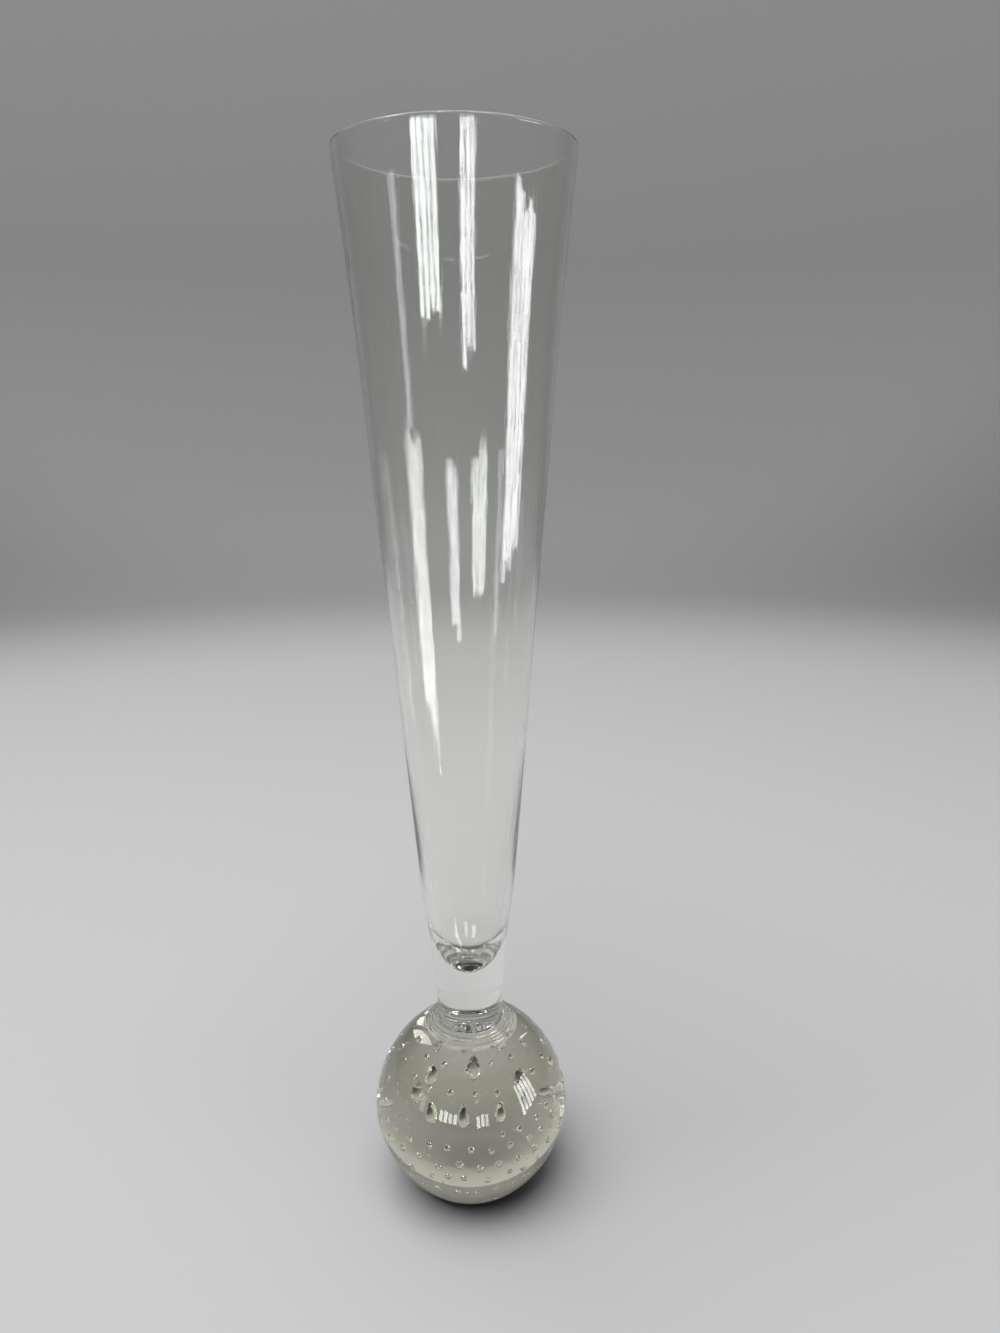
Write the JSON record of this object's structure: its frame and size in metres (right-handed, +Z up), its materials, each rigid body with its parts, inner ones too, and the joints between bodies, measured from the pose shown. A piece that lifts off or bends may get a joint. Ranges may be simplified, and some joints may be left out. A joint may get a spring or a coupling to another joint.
{
  "type": "trumpet vase",
  "caption": "Tall clear glass trumpet vase: a thin straight cone on a short solid stem, fused to a solid ball foot that holds rows of trapped air bubbles and stands on a ground flat.",
  "frame": {"origin": "middle of the ground flat under the ball, on the surface that the vase stands on", "axes": "+Z up along the vase's axis, from the base flat to the rim; X and Y are free, because the vase is round"},
  "size_m": [0.0836, 0.0836, 0.406],
  "materials": {
    "clear_glass": "clear blown glass, fire-polished gloss",
    "ball_glass": "thick clear glass with a faint olive tint, gloss"
  },
  "bodies": {
    "root": {"trumpet_bowl": "clear_glass", "stem": "clear_glass", "neck_collar": "ball_glass", "ball_casing": "ball_glass", "bubble_gather": "ball_glass", "core_gather": "ball_glass"}
  },
  "joints": []
}
